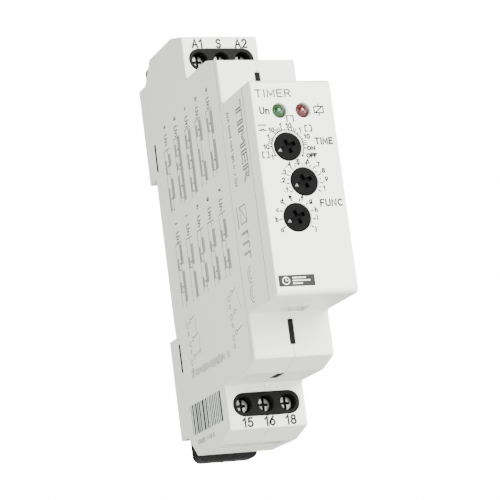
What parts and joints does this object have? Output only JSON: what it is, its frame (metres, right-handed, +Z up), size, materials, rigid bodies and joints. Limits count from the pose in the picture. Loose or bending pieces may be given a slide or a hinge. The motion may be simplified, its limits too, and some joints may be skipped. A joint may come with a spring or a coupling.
{
  "type": "rail mounted time relay",
  "caption": "Narrow modular time relay with a stepped housing, adjusting knobs, indicator lamps, screw clamp terminals and sprung latches for a top-hat rail.",
  "frame": {"origin": "centre of the seat that rests on the front of the rail", "axes": "+X across the width, -Y towards the front face, +Z up along the rail-mounted height"},
  "size_m": [0.0176, 0.0641, 0.0914],
  "materials": {
    "housing_plastic": "fine satin texture, light warm grey",
    "cover_plastic": "fine satin texture, light warm grey",
    "knob_plastic": "satin black",
    "black_plastic": "semi-gloss black",
    "latch_plastic": "satin black",
    "green_lens": "tinted clear resin",
    "red_lens": "tinted clear resin",
    "screw_steel": "zinc plated",
    "cage_steel": "zinc plated",
    "contact_brass": "tin over brass",
    "spring_steel": "drawn wire",
    "board_laminate": "green solder mask",
    "rotor_plastic": "natural",
    "trimmer_plastic": "blue",
    "capacitor_film": "yellow box",
    "capacitor_sleeve": "dark shrink sleeve",
    "varistor_coat": "blue epoxy",
    "chip_plastic": "moulded",
    "resistor_coat": "tan lacquer",
    "tinned_wire": "tinned",
    "relay_case_plastic": "smoke blue",
    "relay_base_plastic": "black",
    "bobbin_plastic": "natural",
    "copper_winding": "enamelled copper",
    "magnet_iron": "plated iron",
    "contact_bronze": "bronze strip"
  },
  "bodies": {
    "housing": {"left_shell": "housing_plastic", "right_shell": "housing_plastic", "front_cover": "cover_plastic", "range_switch_body": "trimmer_plastic", "time_trimmer_body": "trimmer_plastic", "function_switch_body": "trimmer_plastic", "green_lamp": "green_lens", "red_lamp": "red_lens", "lamp_leads": "tinned_wire", "upper_terminal_block": "black_plastic", "lower_terminal_block": "black_plastic", "upper_contact_bars": "contact_brass", "lower_contact_bars": "contact_brass", "upper_latch_spring": "spring_steel", "lower_latch_spring": "spring_steel", "main_board": "board_laminate", "front_board": "board_laminate", "board_connector": "chip_plastic", "connector_pins": "tinned_wire", "film_capacitor": "capacitor_film", "smoothing_capacitor": "capacitor_sleeve", "varistor": "varistor_coat", "controller_chip": "chip_plastic", "resistors": "resistor_coat", "diodes": "chip_plastic", "relay_base": "relay_base_plastic", "relay_cover": "relay_case_plastic", "relay_bobbin": "bobbin_plastic", "relay_winding": "copper_winding", "relay_core": "magnet_iron", "relay_yoke": "magnet_iron", "relay_fixed_contacts": "contact_bronze", "relay_pins": "tinned_wire"},
    "range_dial": {"range_knob": "knob_plastic", "range_rotor": "rotor_plastic"},
    "time_dial": {"time_knob": "knob_plastic", "time_rotor": "rotor_plastic"},
    "function_dial": {"function_knob": "knob_plastic", "function_rotor": "rotor_plastic"},
    "upper_latch": {"upper_rail_latch": "latch_plastic"},
    "lower_latch": {"lower_rail_latch": "latch_plastic"},
    "armature": {"relay_armature": "magnet_iron", "relay_moving_contact": "contact_bronze"},
    "a1_screw": {"screw_a1": "screw_steel"},
    "a1_cage": {"cage_a1": "cage_steel"},
    "s_screw": {"screw_s": "screw_steel"},
    "s_cage": {"cage_s": "cage_steel"},
    "a2_screw": {"screw_a2": "screw_steel"},
    "a2_cage": {"cage_a2": "cage_steel"},
    "15_screw": {"screw_15": "screw_steel"},
    "15_cage": {"cage_15": "cage_steel"},
    "16_screw": {"screw_16": "screw_steel"},
    "16_cage": {"cage_16": "cage_steel"},
    "18_screw": {"screw_18": "screw_steel"},
    "18_cage": {"cage_18": "cage_steel"}
  },
  "joints": [
    {"name": "range_knob_turn", "type": "hinge", "parent": "housing", "child": "range_dial", "pos_m": [-0.00232, -0.0598, 0.00821], "axis": [0, 1, 0], "range_deg": [0, 240]},
    {"name": "time_knob_turn", "type": "hinge", "parent": "housing", "child": "time_dial", "pos_m": [0.00025, -0.0598, 0.00087], "axis": [0, 1, 0], "range_deg": [0, 240]},
    {"name": "function_knob_turn", "type": "hinge", "parent": "housing", "child": "function_dial", "pos_m": [-0.00232, -0.0598, -0.00647], "axis": [0, 1, 0], "range_deg": [0, 247.5]},
    {"name": "screw_a1_turn", "type": "hinge", "parent": "housing", "child": "a1_screw", "pos_m": [-0.005, -0.0238, 0.0379], "axis": [0, 1, 0], "range_deg": [0, 1872]},
    {"name": "cage_a1_rise", "type": "slide", "parent": "housing", "child": "a1_cage", "axis": [0, -1, 0], "range_m": [0, 0.0026]},
    {"name": "screw_s_turn", "type": "hinge", "parent": "housing", "child": "s_screw", "pos_m": [0, -0.0238, 0.0379], "axis": [0, 1, 0], "range_deg": [0, 1872]},
    {"name": "cage_s_rise", "type": "slide", "parent": "housing", "child": "s_cage", "axis": [0, -1, 0], "range_m": [0, 0.0026]},
    {"name": "screw_a2_turn", "type": "hinge", "parent": "housing", "child": "a2_screw", "pos_m": [0.005, -0.0238, 0.0379], "axis": [0, 1, 0], "range_deg": [0, 1872]},
    {"name": "cage_a2_rise", "type": "slide", "parent": "housing", "child": "a2_cage", "axis": [0, -1, 0], "range_m": [0, 0.0026]},
    {"name": "screw_15_turn", "type": "hinge", "parent": "housing", "child": "15_screw", "pos_m": [-0.005, -0.0238, -0.0379], "axis": [0, 1, 0], "range_deg": [0, 1872]},
    {"name": "cage_15_rise", "type": "slide", "parent": "housing", "child": "15_cage", "axis": [0, -1, 0], "range_m": [0, 0.0026]},
    {"name": "screw_16_turn", "type": "hinge", "parent": "housing", "child": "16_screw", "pos_m": [0, -0.0238, -0.0379], "axis": [0, 1, 0], "range_deg": [0, 1872]},
    {"name": "cage_16_rise", "type": "slide", "parent": "housing", "child": "16_cage", "axis": [0, -1, 0], "range_m": [0, 0.0026]},
    {"name": "screw_18_turn", "type": "hinge", "parent": "housing", "child": "18_screw", "pos_m": [0.005, -0.0238, -0.0379], "axis": [0, 1, 0], "range_deg": [0, 1872]},
    {"name": "cage_18_rise", "type": "slide", "parent": "housing", "child": "18_cage", "axis": [0, -1, 0], "range_m": [0, 0.0026]},
    {"name": "upper_latch_pull", "type": "slide", "parent": "housing", "child": "upper_latch", "axis": [0, 0, 1], "range_m": [0, 0.003], "stiffness_N_per_m": 400, "springref_m": -0.002, "deforming": ["upper_latch_spring"]},
    {"name": "lower_latch_pull", "type": "slide", "parent": "housing", "child": "lower_latch", "axis": [0, 0, -1], "range_m": [0, 0.003], "stiffness_N_per_m": 400, "springref_m": -0.002, "deforming": ["lower_latch_spring"]},
    {"name": "armature_pull_in", "type": "hinge", "parent": "housing", "child": "armature", "pos_m": [0.00143, -0.0087, -0.0084], "axis": [1, 0, 0], "range_deg": [0, 4.5], "stiffness_Nm_per_rad": 0.006, "springref_deg": -5.73}
  ],
  "couplings": [
    {"joint": "screw_a1_turn", "follows": "cage_a1_rise", "rad_per_m": 12566},
    {"joint": "screw_s_turn", "follows": "cage_s_rise", "rad_per_m": 12566},
    {"joint": "screw_a2_turn", "follows": "cage_a2_rise", "rad_per_m": 12566},
    {"joint": "screw_15_turn", "follows": "cage_15_rise", "rad_per_m": 12566},
    {"joint": "screw_16_turn", "follows": "cage_16_rise", "rad_per_m": 12566},
    {"joint": "screw_18_turn", "follows": "cage_18_rise", "rad_per_m": 12566}
  ]
}
